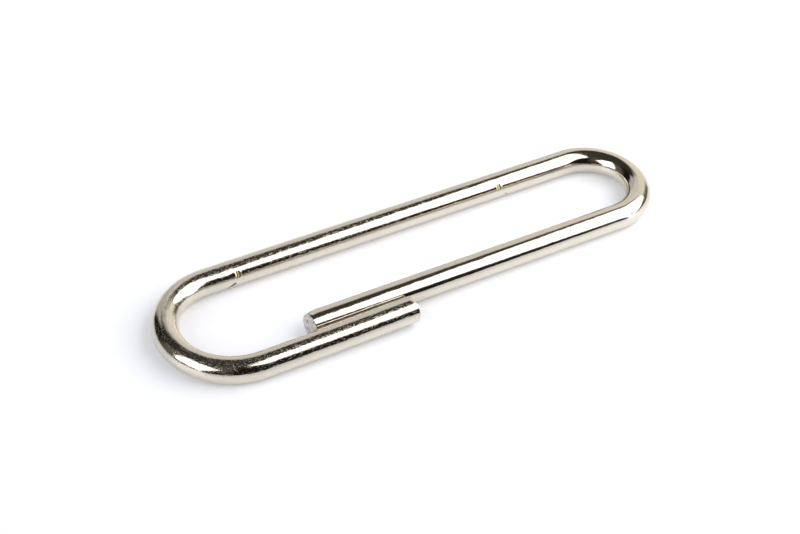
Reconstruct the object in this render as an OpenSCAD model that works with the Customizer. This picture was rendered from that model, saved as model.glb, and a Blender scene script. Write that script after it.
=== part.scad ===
// Lapped wire loop: a length of round wire folded flat round two pegs of different size,
// so that its sheared free ends spring against each other along one long side.
// Millimetres. X runs along the loop, Z is up, and the loop lies on Z = 0 with the middle
// of its outline on the origin.

/* [Wire] */
// Diameter of the drawn wire
wire_d = 3.0; // [2.2:0.1:3.8]

/* [Loop] */
// Overall length, measured over both bends
overall_l = 63.2; // [56:0.2:84]
// Inside radius of the narrow bend, which is the radius of the peg it is folded round
narrow_peg_r = 4.2; // [3:0.1:6]

/* [Lap] */
// Straight length between the wide bend and the start of the lap
lead_l = 7.1; // [3:0.1:10]
// Length over which the free ends lie side by side
lap_l = 11.1; // [5:0.1:16]
// Gap between the lapped runs
lap_gap = 0.03; // [0.02:0.01:0.4]
// How far the outer run springs up out of the loop's plane by its tip
spring_lift = 0.20; // [0.05:0.05:0.6]

/* [Sheared ends] */
// Length of the straight tip at the sprung end
tip_l = 1.0; // [0.8:0.1:3]
// Length of wire behind a cut face over which the blade draws the top over
drawn_l = 0.50; // [0.30:0.05:0.70]
// How far the top is drawn down at the cut face, where the blade enters
drawn_top = 0.12; // [0.08:0.02:0.24]
// Share of that drawing-over that the inner free end shows, whose side the blade holds
held_share = 0.4; // [0.3:0.1:1]
// Lean of the outer end's cut face, whose top overhangs, in degrees
shear_lean = 2; // [0:0.5:5]
// Skew of the inner end's cut face, whose side next to the outer run is set back, in degrees
held_skew = 5; // [0:0.5:8]

/* [Tool nicks] */
// Depth to which a gripping finger bites into the inside of the long back run
nick_depth = 0.08; // [0.04:0.01:0.16]
// Radius of the finger's edge
nick_r = 0.6; // [0.4:0.1:1]
// Angle above level from which the fingers bite, in degrees
nick_tilt = 31; // [0:1:45]
// Distance from the end of the wide bend to its nick
wide_nick_l = 3.5; // [1.4:0.1:6]
// Distance from the end of the narrow bend to its nick
narrow_nick_l = 10; // [4:0.2:14]

/* [Hidden] */
round_fn = 128;
$fn = round_fn;
// Fineness of the sprung run's sweep, which turns through a degree or two about a far centre
sweep_fn = 2880;

wire_r = wire_d / 2;

// Centreline radii. The wide bend carries the outer run clear past the inner one, so its
// diameter is larger by one wire and the lap gap.
narrow_bend_r = narrow_peg_r + wire_r;
wide_bend_r = narrow_bend_r + (wire_d + lap_gap) / 2;

// Bend centres along X
wide_x = -overall_l / 2 + wire_r + wide_bend_r;
narrow_x = overall_l / 2 - wire_r - narrow_bend_r;

// Centrelines of the three straight runs along Y, and the centre of the narrow bend
back_y = wide_bend_r;
outer_y = -wide_bend_r;
narrow_y = back_y - narrow_bend_r;
inner_y = narrow_y - narrow_bend_r;

// Straight lengths
back_run_l = narrow_x - wide_x;
outer_run_l = lead_l + lap_l;
inner_run_l = back_run_l - lead_l;

// The outer run leaves the wide bend level and curves up by the spring lift, up to its tip
spring_l = outer_run_l - tip_l;
spring_r = (pow(spring_l, 2) + pow(spring_lift, 2)) / (2 * spring_lift);
spring_angle = asin(spring_l / spring_r);

// The drawn-over shoulder of a cut end is part of a ball, whose centre sits below the wire's
// axis, so that it takes only the top of the wire. The ball meets the top of the wire at
// drawn_l from the face, and the face itself at drawn_top under it. An end that is drawn over
// less has both lengths times its share.
ball_drop = wire_r * 2 / 3;
function rim_r(share) = wire_r + ball_drop - share * drawn_top;
function ball_back(share) =
    (pow(share * drawn_l, 2) + pow(wire_r + ball_drop, 2) - pow(rim_r(share), 2))
    / (2 * share * drawn_l);
function ball_r(share) = norm([ball_back(share), rim_r(share)]);

// Half size of a block that covers the wire's section with room to spare
cover = wire_d;

// Straight wire along +X from the origin
module rod(length) {
    rotate([0, 90, 0]) cylinder(h = length, d = wire_d);
}

// What the shear leaves of a rod: all of it up to the shoulder, the ball there, and nothing
// past the cut face, which is turned from square by some angles
module shear_form(length, share, face_turn) {
    block_l = length - ball_back(share) + cover;
    difference() {
        union() {
            translate([-cover, -cover, -cover]) cube([block_l, 2 * cover, 2 * cover]);
            translate([length - ball_back(share), 0, -ball_drop]) sphere(r = ball_r(share));
        }
        translate([length, 0, 0]) rotate(face_turn) translate([0, -cover, -cover])
            cube(2 * cover);
    }
}

// Straight wire along +X whose far end has been sheared from above
module sheared_rod(length, share, face_turn) {
    intersection() {
        rod(length + wire_d);
        shear_form(length, share, face_turn);
    }
}

// Half-turn bend about the origin, from -Y round through +X to +Y
module bend(radius) {
    rotate([0, 0, -90]) rotate_extrude(angle = 180) translate([radius, 0]) circle(d = wire_d);
}

// Run along +X from the origin that curves up by the spring lift, and ends in a sheared tip
module sprung_run() {
    translate([0, 0, spring_r]) rotate([90, 0, 0]) rotate([0, 0, -90])
        rotate_extrude(angle = spring_angle, $fn = sweep_fn) translate([spring_r, 0])
            circle(d = wire_d, $fn = round_fn);
    translate([spring_l, 0, spring_lift]) rotate([0, -spring_angle, 0])
        sheared_rod(tip_l, 1, [0, shear_lean, 0]);
}

// Finger that bites into the inside of the back run at a place along it, from above level
module nicking_finger(x) {
    translate([x, back_y, 0]) rotate([-nick_tilt, 0, 0])
        translate([0, -wire_r + nick_depth - nick_r, -cover]) cylinder(h = 2 * cover, r = nick_r);
}

// The whole wire, from the inner free end round both bends to the outer free end
module wire_loop() {
    color([0.80, 0.78, 0.73]) translate([0, 0, wire_r]) difference() {
        union() {
            translate([narrow_x, inner_y, 0]) mirror([1, 0, 0])
                sheared_rod(inner_run_l, held_share, [0, 0, -held_skew]);
            translate([narrow_x, narrow_y, 0]) bend(narrow_bend_r);
            translate([wide_x, back_y, 0]) rod(back_run_l);
            translate([wide_x, 0, 0]) mirror([1, 0, 0]) bend(wide_bend_r);
            translate([wide_x, outer_y, 0]) sprung_run();
        }
        nicking_finger(wide_x + wide_nick_l);
        nicking_finger(narrow_x - narrow_nick_l);
    }
}

wire_loop();
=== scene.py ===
import math

import bpy
import numpy as np
from mathutils import Matrix, Vector


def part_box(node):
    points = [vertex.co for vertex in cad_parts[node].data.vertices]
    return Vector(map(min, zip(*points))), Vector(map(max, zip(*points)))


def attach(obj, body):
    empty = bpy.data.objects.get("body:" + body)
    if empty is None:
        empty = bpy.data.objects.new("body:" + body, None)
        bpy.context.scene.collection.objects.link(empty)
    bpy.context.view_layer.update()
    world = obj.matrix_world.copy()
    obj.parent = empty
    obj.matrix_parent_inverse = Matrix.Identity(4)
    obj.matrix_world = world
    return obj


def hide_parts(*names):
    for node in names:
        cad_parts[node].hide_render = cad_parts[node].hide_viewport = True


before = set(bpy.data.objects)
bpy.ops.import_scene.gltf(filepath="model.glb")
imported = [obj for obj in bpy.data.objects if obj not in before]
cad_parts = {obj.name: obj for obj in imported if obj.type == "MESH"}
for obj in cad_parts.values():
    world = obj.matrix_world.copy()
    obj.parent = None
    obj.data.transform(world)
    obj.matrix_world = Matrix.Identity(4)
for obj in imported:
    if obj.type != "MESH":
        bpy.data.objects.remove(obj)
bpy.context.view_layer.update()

MM = 0.001

# ---- Sizes of the wire in millimetres, from the frame's box and the lengths of part.scad -----
node_low, node_high = (np.array(corner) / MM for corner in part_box("wire_loop"))
WIRE_R = 1.5
LAP_GAP = 0.03
LEAD_L = 7.1
LAP_L = 11.1
SPRING_LIFT = 0.20
TIP_L = 1.0
WIDE_R = (node_high[1] - node_low[1]) / 2 - WIRE_R
NARROW_R = WIDE_R - WIRE_R - LAP_GAP / 2
WIDE_X = node_low[0] + WIRE_R + WIDE_R
NARROW_X = node_high[0] - WIRE_R - NARROW_R
BACK_Y = WIDE_R
OUTER_Y = -WIDE_R
NARROW_Y = BACK_Y - NARROW_R
INNER_Y = NARROW_Y - NARROW_R

# Lengths along the wire at which each run and bend ends, from the inner free end
INNER_END = NARROW_X - WIDE_X - LEAD_L
NARROW_END = INNER_END + math.pi * NARROW_R
BACK_END = NARROW_END + NARROW_X - WIDE_X
WIDE_END = BACK_END + math.pi * WIDE_R

# The outer run curves up out of the loop's plane, and ends in a straight tip
SPRING_X = LEAD_L + LAP_L - TIP_L
SPRING_R = (SPRING_X ** 2 + SPRING_LIFT ** 2) / (2 * SPRING_LIFT)
SPRING_ANGLE = math.asin(SPRING_X / SPRING_R)
SPRING_END = WIDE_END + SPRING_R * SPRING_ANGLE
WIRE_L = SPRING_END + TIP_L

# Sheared ends: the drawn-over shoulder, the lean and skew of the faces, the worn side of the
# inner end, and the broken edge of both
DRAWN_L = 0.50
DRAWN_TOP = 0.12
BALL_DROP = WIRE_R * 2 / 3
HELD_SHARE = 0.4
SHEAR_LEAN = math.radians(2)
HELD_SKEW = math.radians(5)
HELD_WORN = 0.18
HELD_WORN_L = 1.3
HELD_WORN_TURN = math.radians(-60)
EDGE_BREAK = 0.02
FACE_TURN_L = 1.2

# Torn grain and pits of the cut faces, which fade in over the rings next to the rim
FACE_SEED = 7
FACE_GRAIN = 0.004
FACE_GRAIN_WAVES = 16
FACE_GRAIN_FINENESS = 5.0
FACE_FADE_RINGS = 3
FACE_PITS = 34
FACE_PIT_R = (0.06, 0.15)
FACE_PIT_DEPTH = (0.03, 0.09)

# Nicks of the gripping fingers, inside the back run
NICK_DEPTH = 0.08
NICK_R = 0.6
NICK_TILT = math.radians(31)
NICK_LIP = 0.03
NICK_LIP_L = 0.07
NICK_LIP_REACH = 0.34
NICK_RIDGE = 0.05
NICK_RIDGE_L = 0.08
NICK_MARGIN = 0.3
NICK_BRIGHT = (0.26, 0.46)
NICK_PLACES = (BACK_END - 3.5, NARROW_END + 10.0)

# Dark marks, rust and scratches, each a line on the wire: its two ends, by length along the wire and
# degrees above the inside of the loop, and the distances from it between which it fades out
DARK_MARKS = (
    ((BACK_END - 3.04, -10), (BACK_END - 2.70, -19), 0.10, 0.24),
    ((BACK_END - 2.70, -19), (BACK_END - 2.20, -30), 0.07, 0.19),
    ((NARROW_END + 9.0, -14), (NARROW_END + 8.7, -30), 0.03, 0.11),
    ((INNER_END - 7.3, 119), (INNER_END - 7.2, 121), 0.03, 0.11),
    ((INNER_END + 0.85, 140), (INNER_END + 1.05, 146), 0.03, 0.09),
)
RUST_MARKS = (((WIDE_END - 2.65, 134), (WIDE_END - 2.20, 132), 0.05, 0.30),)
SCRATCHES = (
    ((WIDE_END - 3.18, 112), (WIDE_END - 3.06, 133), 0.02, 0.08),
    ((WIDE_END - 3.06, 133), (WIDE_END - 2.81, 140), 0.02, 0.08),
)

# Slow unevenness of the drawn and bent wire: height, length along, turns around
UNEVEN_SEED = 11
UNEVEN = ((0.004, 9.0, 1), (0.003, 5.3, 2), (0.0022, 3.1, 3), (0.0014, 1.9, 2), (0.0010, 1.2, 4))

# Mesh fineness
AROUND = 128
RING_STEP = 0.30
FINE_STEP = 0.06
FINE_REACH = 1.2
CAP_RINGS = 26

# ---- Colours of the metal --------------------------------------------------------------------
PLATE = (0.70, 0.655, 0.57, 1)
PLATE_WARM = (0.68, 0.63, 0.535, 1)
DIRT = (0.16, 0.13, 0.09, 1)
BARE_NICK = (0.80, 0.70, 0.44, 1)
DARK_MARK_COLOUR = (0.10, 0.07, 0.04, 1)
RUST = (0.50, 0.22, 0.16, 1)
CUT_DULL = (0.60, 0.57, 0.52, 1)
CUT_PALE = (0.80, 0.765, 0.71, 1)
# Painted shade for the inside of the pits of the cut faces
CUT_PIT_SHADE = (0.22, 0.20, 0.17, 1)

# ---- Camera, fitted to the photo's outline of the wire ---------------------------------------
CAMERA_TARGET = Vector((-1.576, 1.098, 0)) * MM
CAMERA_AZIMUTH = math.radians(-31.85)
CAMERA_ELEVATION = math.radians(41.23)
CAMERA_ROLL = math.radians(3.12)
CAMERA_DISTANCE = 197.95 * MM
CAMERA_LENS = 79.11
CAMERA_SENSOR = 36.0

# ---- Studio, in metres -----------------------------------------------------------------------
# Places and sizes of the softboxes are fitted to the bright bands on the photo's wire. The room
# between them is dim, as those bands have dark ones next to them.
KEY_SOFTBOX = {
    "centre": (0.407, -0.055, 0.269), "width_axis": (0.662, 0.554, 0.505),
    "height_axis": (-0.749, 0.473, 0.463), "size": (0.700, 0.508),
    "radiance": 2.3, "colour": (1.0, 0.99, 0.975),
}
FILL_SOFTBOX = {
    "centre": (-1.853, -0.310, 1.043), "width_axis": (-0.036, -0.976, -0.214),
    "height_axis": (0.653, -0.185, 0.734), "size": (1.727, 1.75),
    "radiance": 2.2, "colour": (0.93, 0.965, 1.0),
}
ROOM = (0.012, 0.010, 0.008)
ROOM_PATCHES = (
    # azimuth, half width, lowest and highest elevation, softness, colour
    (0, 181, 50, 95, 12, (0.050, 0.045, 0.037)),
    (90, 13, -5, 38, 5, (0.58, 0.575, 0.57)),
    (62, 19, -5, 44, 5, (0.80, 0.79, 0.77)),
    (32, 22, -5, 44, 8, (0.98, 0.93, 0.84)),
    (152, 14, 0, 50, 10, (0.13, 0.12, 0.10)),
    (-12, 32, -5, 20, 6, (0.15, 0.14, 0.115)),
    (228, 14, 20, 65, 10, (0.10, 0.075, 0.065)),
)
AMBIENT = (0.42, 0.43, 0.50)
FLOOR_SIDE = 3.0
FLOOR_COLOUR = (0.94, 0.94, 0.94)
FLOOR_ROUGHNESS = 0.30
FLOOR_WHITENING = 0.12


# ---- Shader node helpers ---------------------------------------------------------------------
def node(tree, kind, sockets=None, output=0, **settings):
    """Adds a shader node, links or sets its sockets, and returns one of its outputs."""
    made = tree.nodes.new("ShaderNode" + kind)
    for name, value in settings.items():
        setattr(made, name, value)
    for key, value in (sockets or {}).items():
        if isinstance(value, bpy.types.NodeSocket):
            tree.links.new(value, made.inputs[key])
        else:
            made.inputs[key].default_value = value
    return None if output is None else made.outputs[output]


def calc(tree, operation, *values):
    return node(tree, "Math", dict(enumerate(values)), operation=operation)


def ramp(tree, value, low, high, to_low=0.0, to_high=1.0):
    """A value eased from one range to another, and held at the ends of it."""
    sockets = {
        "Value": value, "From Min": low, "From Max": high, "To Min": to_low, "To Max": to_high,
    }
    return node(tree, "MapRange", sockets, interpolation_type="SMOOTHSTEP")


def mix_colour(tree, factor, first, second):
    return node(tree, "Mix", {0: factor, 6: first, 7: second}, output=2, data_type="RGBA")


def new_material(name):
    made = bpy.data.materials.new(name)
    made.use_nodes = True
    made.node_tree.nodes.clear()
    return made, made.node_tree


def finish_material(tree, shader):
    node(tree, "OutputMaterial", {"Surface": shader}, output=None)


# ---- Centreline ------------------------------------------------------------------------------
def centre_at(s):
    """Point and unit tangent at a length along the wire, from the inner free end."""
    if s < INNER_END:
        return (NARROW_X - INNER_END + s, INNER_Y, WIRE_R), (1, 0, 0)
    if s < NARROW_END:
        turn = (s - INNER_END) / NARROW_R
        point = (NARROW_X + NARROW_R * math.sin(turn), NARROW_Y - NARROW_R * math.cos(turn), WIRE_R)
        return point, (math.cos(turn), math.sin(turn), 0)
    if s < BACK_END:
        return (NARROW_X - (s - NARROW_END), BACK_Y, WIRE_R), (-1, 0, 0)
    if s < WIDE_END:
        turn = (s - BACK_END) / WIDE_R
        point = (WIDE_X - WIDE_R * math.sin(turn), WIDE_R * math.cos(turn), WIRE_R)
        return point, (-math.cos(turn), -math.sin(turn), 0)
    rise = min(s - WIDE_END, SPRING_END - WIDE_END) / SPRING_R
    past = max(0.0, s - SPRING_END)
    point = (
        WIDE_X + SPRING_R * math.sin(rise) + past * math.cos(rise),
        OUTER_Y,
        WIRE_R + SPRING_R * (1 - math.cos(rise)) + past * math.sin(rise),
    )
    return point, (math.cos(rise), 0, math.sin(rise))


def ring_stations():
    """Lengths along the wire at which the mesh has a ring, close together at ends and nicks."""
    stations = [0.0]
    while stations[-1] < WIRE_L:
        near = min(abs(stations[-1] - place) for place in (0.0, WIRE_L, *NICK_PLACES))
        share = min(1.0, near / FINE_REACH) ** 2
        stations.append(stations[-1] + FINE_STEP + (RING_STEP - FINE_STEP) * share)
    stations = np.array(stations) * WIRE_L / stations[-1]
    return np.sort(np.append(stations, (EDGE_BREAK, WIRE_L - EDGE_BREAK)))


def rim_radius(depth, share, up):
    """Radius of the wire at a depth behind a cut face, for each cosine of the angle from the top."""
    rim_r = WIRE_R + BALL_DROP - share * DRAWN_TOP
    drawn_l = share * DRAWN_L
    ball_back = (drawn_l ** 2 + (WIRE_R + BALL_DROP) ** 2 - rim_r ** 2) / (2 * drawn_l)
    if depth > ball_back:
        return np.full(len(up), WIRE_R)
    ring = math.sqrt(ball_back ** 2 + rim_r ** 2 - (ball_back - depth) ** 2)
    along = -BALL_DROP * up
    return np.minimum(along + np.sqrt(ring ** 2 - BALL_DROP ** 2 + along ** 2), WIRE_R)


def worn_shoulder(depth, angles):
    """How far the inner end's free side is worn in towards its cut face, round the wire."""
    facing = np.maximum(np.cos(angles - HELD_WORN_TURN), 0)
    return HELD_WORN * (1 - depth / HELD_WORN_L) ** 2 * facing ** 2


def press_nick(side, up, along):
    """Pushes a ring in where a finger has bitten, with a ridge in the bite and a lip round it."""
    bite_side, bite_up = -math.cos(NICK_TILT), math.sin(NICK_TILT)
    out = side * bite_side + up * bite_up
    across = side * bite_up - up * bite_side
    middle = np.exp(-(across / NICK_LIP_REACH) ** 2)
    deepest = WIRE_R - NICK_DEPTH
    if abs(along) < NICK_R:
        floor = deepest + NICK_R - math.sqrt(NICK_R ** 2 - along ** 2)
        floor += NICK_RIDGE * math.exp(-(along / NICK_RIDGE_L) ** 2)
        push = np.minimum(floor - out, 0)
    else:
        push = np.zeros(len(out))
    half_l = math.sqrt(2 * NICK_R * NICK_DEPTH)
    lip = NICK_LIP * math.exp(-((abs(along) - half_l) / NICK_LIP_L) ** 2) * middle
    push += lip * (out > 0)
    return side + push * bite_side, up + push * bite_up


# ---- The wire --------------------------------------------------------------------------------
def uneven(s, angles, rng):
    """Slow dents and swells of the surface, always inward of the true outline."""
    depth = np.zeros(len(angles))
    for height, length, turns in UNEVEN:
        for _ in range(2):
            phase, slant = rng.uniform(0, 2 * math.pi), rng.uniform(-1, 1)
            stretch = rng.uniform(0.8, 1.25)
            wave = np.cos(2 * math.pi * s * stretch / length + turns * angles + phase + slant)
            depth += height * (wave - 1) / 2
    return depth


def side_rings(stations):
    """Rings of the wire's side, each with its places on the unrolled wire for the materials."""
    angles = np.arange(AROUND) * 2 * math.pi / AROUND
    rings, unrolled = [], []
    for s in stations:
        centre, tangent = (np.array(v, dtype=float) for v in centre_at(s))
        depth = min(s, WIRE_L - s)
        near_outer_end = s > WIRE_L / 2
        radius = rim_radius(depth, 1 if near_outer_end else HELD_SHARE, np.cos(angles))
        if s < HELD_WORN_L:
            radius = radius - worn_shoulder(s, angles)
        if depth < EDGE_BREAK / 2:
            radius = radius - EDGE_BREAK
        radius = radius + uneven(s, angles, np.random.default_rng(UNEVEN_SEED))
        side, up = radius * np.sin(angles), radius * np.cos(angles)
        for place in NICK_PLACES:
            if abs(s - place) < NICK_R + NICK_MARGIN:
                side, up = press_nick(side, up, s - place)
        lean = math.tan(SHEAR_LEAN) * up if near_outer_end else math.tan(HELD_SKEW) * side
        along = max(0.0, 1 - depth / FACE_TURN_L) * lean
        # The ring's side axis points to the right of travel, which is outside both bends.
        side_axis = np.cross(tangent, (0, 0, 1))
        side_axis /= np.linalg.norm(side_axis)
        up_axis = np.cross(side_axis, tangent)
        section = np.outer(side, side_axis) + np.outer(up, up_axis)
        rings.append(centre + section + np.outer(along, tangent))
        unrolled.append(np.column_stack([
            np.full(AROUND, s), WIRE_R * np.sin(angles), WIRE_R * np.cos(angles)]))
    return rings, unrolled


def face_relief(across, rng):
    """Depth of the torn grain and the pits of a cut face, at places across it."""
    waves = rng.normal(size=(FACE_GRAIN_WAVES, 2)) * FACE_GRAIN_FINENESS
    phases = rng.uniform(0, 2 * math.pi, FACE_GRAIN_WAVES)
    depth = sum(FACE_GRAIN * (1 + np.sin(across @ wave + phase))
                for wave, phase in zip(waves, phases))
    for _ in range(FACE_PITS):
        place = rng.uniform(-WIRE_R, WIRE_R, 2)
        radius, deepest = rng.uniform(*FACE_PIT_R), rng.uniform(*FACE_PIT_DEPTH)
        depth = depth + deepest * np.exp(-((across - place) ** 2).sum(1) / radius ** 2)
    return depth


def cap_rings(rim, rim_unrolled, outward):
    """Rings of a torn, slightly uneven cut face, from its rim in to its middle."""
    centre = rim.mean(0)
    rings, unrolled, depths = [], [], []
    for i in range(1, CAP_RINGS):
        share = 1 - i / CAP_RINGS
        ring = centre + (rim - centre) * share
        relief = face_relief((ring - centre)[:, 1:], np.random.default_rng(FACE_SEED + outward))
        relief = relief * min(1.0, i / FACE_FADE_RINGS)
        rings.append(ring - np.outer(relief, (outward, 0, 0)))
        unrolled.append(rim_unrolled * (1, share, share))
        depths.append(relief)
    return rings, unrolled, depths


def ring_faces(first, second, flip):
    """Quads between two rings, by the index of each ring's first vertex."""
    faces = []
    for j in range(AROUND):
        k = (j + 1) % AROUND
        quad = (first + j, first + k, second + k, second + j)
        faces.append(quad[::-1] if flip else quad)
    return faces


def wire_geometry():
    """Vertices, faces, unrolled places and pit depths of the wire, and how many faces are side."""
    rings, unrolled = side_rings(ring_stations())
    side_count = len(rings)
    faces = []
    for i in range(side_count - 1):
        faces += ring_faces(i * AROUND, (i + 1) * AROUND, True)
    side_faces = len(faces)
    depths = [np.zeros(AROUND)] * side_count
    middles = []
    for rim_index, outward in ((0, -1), (side_count - 1, 1)):
        new_rings, new_unrolled, new_depths = cap_rings(
            rings[rim_index], unrolled[rim_index], outward)
        start = rim_index
        for i in range(len(new_rings)):
            faces += ring_faces(start * AROUND, (len(rings) + i) * AROUND, outward > 0)
            start = len(rings) + i
        rings += new_rings
        unrolled += new_unrolled
        depths += new_depths
        middles.append((start, outward, rings[-1].mean(0), unrolled[-1].mean(0)))
    vertices = np.concatenate(rings + [middle[None, :] for _, _, middle, _ in middles])
    unrolled = np.concatenate(unrolled + [middle[None, :] for _, _, _, middle in middles])
    for i, (start, outward, _, _) in enumerate(middles):
        apex = len(rings) * AROUND + i
        for j in range(AROUND):
            triangle = (start * AROUND + j, start * AROUND + (j + 1) % AROUND, apex)
            faces.append(triangle[::-1] if outward > 0 else triangle)
    # The middle vertex of both faces takes the innermost depth of the outer one.
    depths = np.append(np.concatenate(depths), [depths[-1].mean()] * len(middles))
    return vertices, faces, unrolled, depths, side_faces


def make_wire():
    vertices, faces, unrolled, depths, side_faces = wire_geometry()
    mesh = bpy.data.meshes.new("bright_wire")
    mesh.from_pydata((vertices * MM).tolist(), [], faces)
    attribute = mesh.attributes.new("unrolled", "FLOAT_VECTOR", "POINT")
    attribute.data.foreach_set("vector", unrolled.astype(np.float32).ravel())
    attribute = mesh.attributes.new("pit_depth", "FLOAT", "POINT")
    attribute.data.foreach_set("value", depths.astype(np.float32))
    mesh.polygons.foreach_set("use_smooth", [True] * len(faces))
    mesh.materials.append(bright_nickel())
    mesh.materials.append(cut_nickel())
    is_cut = [int(i >= side_faces) for i in range(len(faces))]
    mesh.polygons.foreach_set("material_index", is_cut)
    mesh.update()
    piece = bpy.data.objects.new("bright_wire", mesh)
    bpy.context.scene.collection.objects.link(piece)
    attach(piece, "root")
    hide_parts("wire_loop")


# ---- Materials -------------------------------------------------------------------------------
def stretched_noise(tree, coordinate, scale, detail=2.0):
    """Noise whose cells are set by how many fit in a millimetre along and around the wire."""
    stretched = node(tree, "Mapping", {"Vector": coordinate, "Scale": scale})
    sockets = {"Vector": stretched, "Scale": 1.0, "Detail": detail}
    return node(tree, "TexNoise", sockets, output="Fac")


def scattered_pits(tree, coordinate, scale, density, size):
    """1 in the middle of scattered round or drawn-out pits, and 0 off them."""
    stretched = node(tree, "Mapping", {"Vector": coordinate, "Scale": scale})
    cells = tree.nodes.new("ShaderNodeTexVoronoi")
    cells.inputs["Scale"].default_value = 1.0
    tree.links.new(stretched, cells.inputs["Vector"])
    lot = node(tree, "SeparateColor", {0: cells.outputs["Color"]})
    chosen = calc(tree, "LESS_THAN", lot, density)
    shape = ramp(tree, cells.outputs["Distance"], 0.0, size, 1.0, 0.0)
    return calc(tree, "MULTIPLY", shape, chosen)


def unrolled_place(s, tilt):
    """A place on the wire, by its length along it and its degrees above the inside of the loop."""
    turn = math.radians(tilt)
    return Vector((s, -WIRE_R * math.cos(turn), WIRE_R * math.sin(turn)))


def near_spot(tree, coordinate, spot, inner, outer):
    """1 round a place on the wire, fading to 0 from the inner to the outer distance."""
    apart = node(tree, "VectorMath", {0: coordinate, 1: spot}, output=1, operation="DISTANCE")
    return ramp(tree, apart, inner, outer, 1.0, 0.0)


def near_line(tree, coordinate, start, end, inner, outer):
    """1 along a straight mark between two places, fading to 0 to both sides."""
    line = end - start
    from_start = node(tree, "VectorMath", {0: coordinate, 1: start}, operation="SUBTRACT")
    along = node(tree, "VectorMath", {0: from_start, 1: line / line.length_squared}, output=1,
                 operation="DOT_PRODUCT")
    within = node(tree, "Clamp", {"Value": along})
    nearest = node(tree, "VectorMath", {0: line, "Scale": within}, operation="SCALE")
    apart = node(tree, "VectorMath", {0: from_start, 1: nearest}, output=1, operation="DISTANCE")
    return ramp(tree, apart, inner, outer, 1.0, 0.0)


def all_marks(tree, coordinate, marks):
    """The strongest of several marks: each has two ends and the distances at which it fades."""
    mask = 0.0
    for start, end, inner, outer in marks:
        ends = unrolled_place(*start), unrolled_place(*end)
        mask = calc(tree, "MAXIMUM", mask, near_line(tree, coordinate, *ends, inner, outer))
    return mask


def bright_nickel():
    """Bright plating with fine grain, scuffs and draw streaks, bitten nicks, dark marks, rust and
    scratches.
    """
    made, tree = new_material("bright_nickel")
    coordinate = node(tree, "Attribute", output="Vector", attribute_name="unrolled")
    along = node(tree, "SeparateXYZ", {0: coordinate})
    # The wide bend and the runs next to it are more scuffed than the narrow one, and the top
    # more than the sides.
    worn = ramp(tree, along, 62.0, 98.0, 0.35, 1.0)
    height_on_wire = node(tree, "SeparateXYZ", {0: coordinate}, output=2)
    scuffed = calc(tree, "MULTIPLY", worn, ramp(tree, height_on_wire, 0.9, 1.4, 0.65, 1.0))
    grain = stretched_noise(tree, coordinate, (3.0, 8, 8))
    swell = stretched_noise(tree, coordinate, (0.8, 1.6, 1.6), 1.0)
    specks = stretched_noise(tree, coordinate, (9.0, 6.0, 6.0), 2.0)
    specks = ramp(tree, specks, 0.56, 0.68)
    streaks = stretched_noise(tree, coordinate, (1.8, 10.0, 10.0), 3.0)
    streaks = ramp(tree, streaks, 0.55, 0.67)
    marks = calc(tree, "MULTIPLY", calc(tree, "MAXIMUM", specks, streaks), scuffed)
    height = calc(tree, "MULTIPLY", grain, calc(tree, "MULTIPLY", worn, 0.004))
    height = calc(tree, "MULTIPLY_ADD", swell, 0.006, height)
    height = calc(tree, "MULTIPLY_ADD", marks, -0.002, height)
    bump = node(tree, "Bump", {"Height": height, "Strength": 1.0, "Distance": MM})
    tint = stretched_noise(tree, coordinate, (0.5, 0.9, 0.9), 3.0)
    colour = mix_colour(tree, ramp(tree, tint, 0.3, 0.7), PLATE, PLATE_WARM)
    dirt = scattered_pits(tree, coordinate, (1.1, 1.6, 1.6), 0.05, 0.12)
    colour = mix_colour(tree, calc(tree, "MULTIPLY", dirt, 0.7), colour, DIRT)
    bitten = calc(tree, "MAXIMUM", *[
        near_spot(tree, coordinate, unrolled_place(place, math.degrees(NICK_TILT)), *NICK_BRIGHT)
        for place in NICK_PLACES])
    colour = mix_colour(tree, bitten, colour, BARE_NICK)
    # The plating is coloured darker along the dark marks.
    darkened = all_marks(tree, coordinate, DARK_MARKS)
    colour = mix_colour(tree, calc(tree, "MULTIPLY", darkened, 0.95), colour, DARK_MARK_COLOUR)
    reddened = all_marks(tree, coordinate, RUST_MARKS)
    colour = mix_colour(tree, calc(tree, "MULTIPLY", reddened, 0.7), colour, RUST)
    scratched = all_marks(tree, coordinate, SCRATCHES)
    rough = calc(tree, "MAXIMUM", marks, calc(tree, "MULTIPLY", bitten, 0.6))
    rough = calc(tree, "MAXIMUM", rough, scratched)
    shader = node(tree, "BsdfPrincipled", {
        "Base Color": colour,
        "Metallic": 1.0,
        "Roughness": ramp(tree, rough, 0.0, 1.0, 0.10, 0.40),
        "Normal": bump,
    })
    finish_material(tree, shader)
    return made


def cut_nickel():
    """Torn metal of a cut face, mottled, with painted shade where the mesh has a pit."""
    made, tree = new_material("cut_nickel")
    coordinate = node(tree, "Attribute", output="Vector", attribute_name="unrolled")
    grain = stretched_noise(tree, coordinate, (1, 6, 6), 4.0)
    pit_depth = node(tree, "Attribute", output="Fac", attribute_name="pit_depth")
    pits = ramp(tree, pit_depth, 0.085, 0.12)
    height = calc(tree, "MULTIPLY", grain, 0.04)
    bump = node(tree, "Bump", {"Height": height, "Strength": 1.0, "Distance": MM})
    mottle = stretched_noise(tree, coordinate, (1, 2.4, 2.4), 4.0)
    mottle = ramp(tree, mottle, 0.40, 0.62)
    colour = mix_colour(tree, mottle, CUT_DULL, CUT_PALE)
    # Painted shade: the cut face is coloured dark inside the mesh's pits.
    colour = mix_colour(tree, calc(tree, "MULTIPLY", pits, 0.9), colour, CUT_PIT_SHADE)
    shader = node(tree, "BsdfPrincipled", {
        "Base Color": colour,
        "Metallic": 1.0,
        "Roughness": 0.42,
        "Normal": bump,
    })
    finish_material(tree, shader)
    return made


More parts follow.
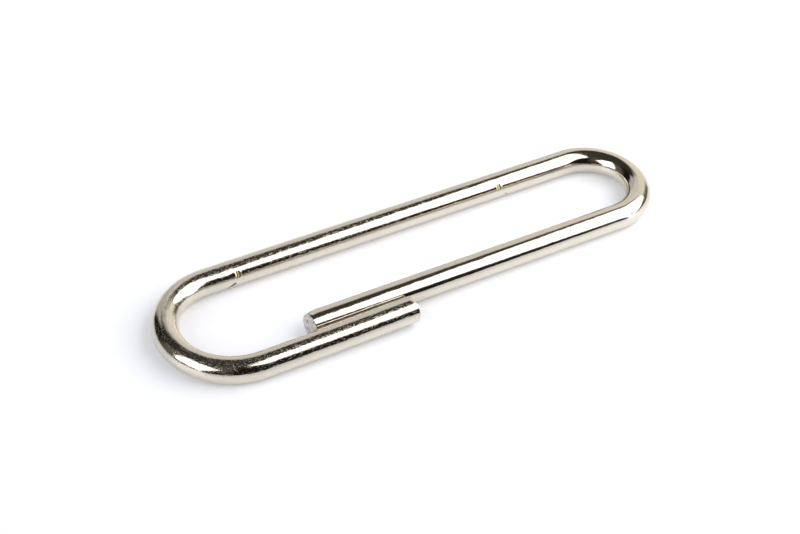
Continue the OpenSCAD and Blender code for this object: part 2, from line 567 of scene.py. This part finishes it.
def white_floor():
    """White floor, whitened alike for camera, glossy and transmission rays, with its shadows."""
    made, tree = new_material("white_floor")
    path = tree.nodes.new("ShaderNodeLightPath")
    seen = calc(tree, "MAXIMUM", path.outputs["Is Camera Ray"], path.outputs["Is Glossy Ray"])
    seen = calc(tree, "MAXIMUM", seen, path.outputs["Is Transmission Ray"])
    shader = node(tree, "BsdfPrincipled", {
        "Base Color": (*FLOOR_COLOUR, 1),
        "Roughness": FLOOR_ROUGHNESS,
        "Emission Color": (1, 1, 1, 1),
        "Emission Strength": calc(tree, "MULTIPLY", seen, FLOOR_WHITENING),
    })
    finish_material(tree, shader)
    return made


# ---- Stage -----------------------------------------------------------------------------------
def make_floor():
    half = FLOOR_SIDE / 2
    corners = [(-half, -half, 0), (half, -half, 0), (half, half, 0), (-half, half, 0)]
    mesh = bpy.data.meshes.new("floor")
    mesh.from_pydata(corners, [], [(0, 1, 2, 3)])
    mesh.materials.append(white_floor())
    floor = bpy.data.objects.new("floor", mesh)
    bpy.context.scene.collection.objects.link(floor)


def make_softbox(name, centre, width_axis, height_axis, size, radiance, colour):
    light = bpy.data.lights.new(name, "AREA")
    light.shape = "RECTANGLE"
    light.size, light.size_y = size
    light.energy = radiance * math.pi * size[0] * size[1]
    light.color = colour
    lamp = bpy.data.objects.new(name, light)
    across = Vector(width_axis).normalized()
    away = across.cross(Vector(height_axis)).normalized()
    if away.dot(Vector(centre)) < 0:
        away = -away
    upright = away.cross(across)
    turn = Matrix((across, upright, away)).transposed().to_4x4()
    lamp.matrix_world = Matrix.Translation(centre) @ turn
    lamp.visible_camera = False
    bpy.context.scene.collection.objects.link(lamp)


def room_patch(tree, vector, azimuth, half_width, low, high, soft):
    """1 inside a patch of the room, by azimuth and elevation in degrees, fading at its edges."""
    turned = node(tree, "VectorRotate", {"Vector": vector, "Angle": math.radians(-azimuth)},
                  rotation_type="Z_AXIS")
    split = tree.nodes.new("ShaderNodeSeparateXYZ")
    tree.links.new(turned, split.inputs[0])
    around = calc(tree, "ABSOLUTE", calc(tree, "ARCTAN2", split.outputs[1], split.outputs[0]))
    above = calc(tree, "ARCSINE", split.outputs[2])
    fade, wide = math.radians(soft), math.radians(half_width)
    low, high = math.radians(low), math.radians(high)
    sideways = ramp(tree, around, wide - fade, wide + fade, 1.0, 0.0)
    lower = ramp(tree, above, low - fade, low + fade)
    upper = ramp(tree, above, high - fade, high + fade, 1.0, 0.0)
    return calc(tree, "MULTIPLY", calc(tree, "MULTIPLY", lower, upper), sideways)


def make_world():
    """Dim room with pale patches, and an even light for diffuse rays."""
    world = bpy.data.worlds.new("studio")
    bpy.context.scene.world = world
    world.use_nodes = True
    tree = world.node_tree
    tree.nodes.clear()
    vector = node(tree, "TexCoord", output="Generated")
    colour = (*ROOM, 1)
    for azimuth, half_width, low, high, soft, tint in ROOM_PATCHES:
        mask = room_patch(tree, vector, azimuth, half_width, low, high, soft)
        colour = mix_colour(tree, mask, colour, (*tint, 1))
    path = tree.nodes.new("ShaderNodeLightPath")
    colour = mix_colour(tree, path.outputs["Is Diffuse Ray"], colour, (*AMBIENT, 1))
    lit = node(tree, "Background", {"Color": colour, "Strength": 1.0})
    node(tree, "OutputWorld", {"Surface": lit}, output=None)


def make_camera():
    back = Vector((
        math.sin(CAMERA_AZIMUTH) * math.cos(CAMERA_ELEVATION),
        -math.cos(CAMERA_AZIMUTH) * math.cos(CAMERA_ELEVATION),
        math.sin(CAMERA_ELEVATION),
    ))
    right = (-back).cross(Vector((0, 0, 1))).normalized()
    up = right.cross(-back)
    rolled_right = math.cos(CAMERA_ROLL) * right + math.sin(CAMERA_ROLL) * up
    rolled_up = math.cos(CAMERA_ROLL) * up - math.sin(CAMERA_ROLL) * right
    data = bpy.data.cameras.new("camera")
    data.lens = CAMERA_LENS
    data.sensor_width = CAMERA_SENSOR
    data.sensor_fit = "HORIZONTAL"
    data.clip_start = 0.01
    data.clip_end = 10
    camera = bpy.data.objects.new("camera", data)
    turn = Matrix((rolled_right, rolled_up, back)).transposed().to_4x4()
    camera.matrix_world = Matrix.Translation(CAMERA_TARGET + back * CAMERA_DISTANCE) @ turn
    bpy.context.scene.collection.objects.link(camera)
    bpy.context.scene.camera = camera


make_camera()
make_wire()
make_floor()
make_softbox("key_softbox", **KEY_SOFTBOX)
make_softbox("fill_softbox", **FILL_SOFTBOX)
make_world()
bpy.context.scene.view_settings.view_transform = "Standard"
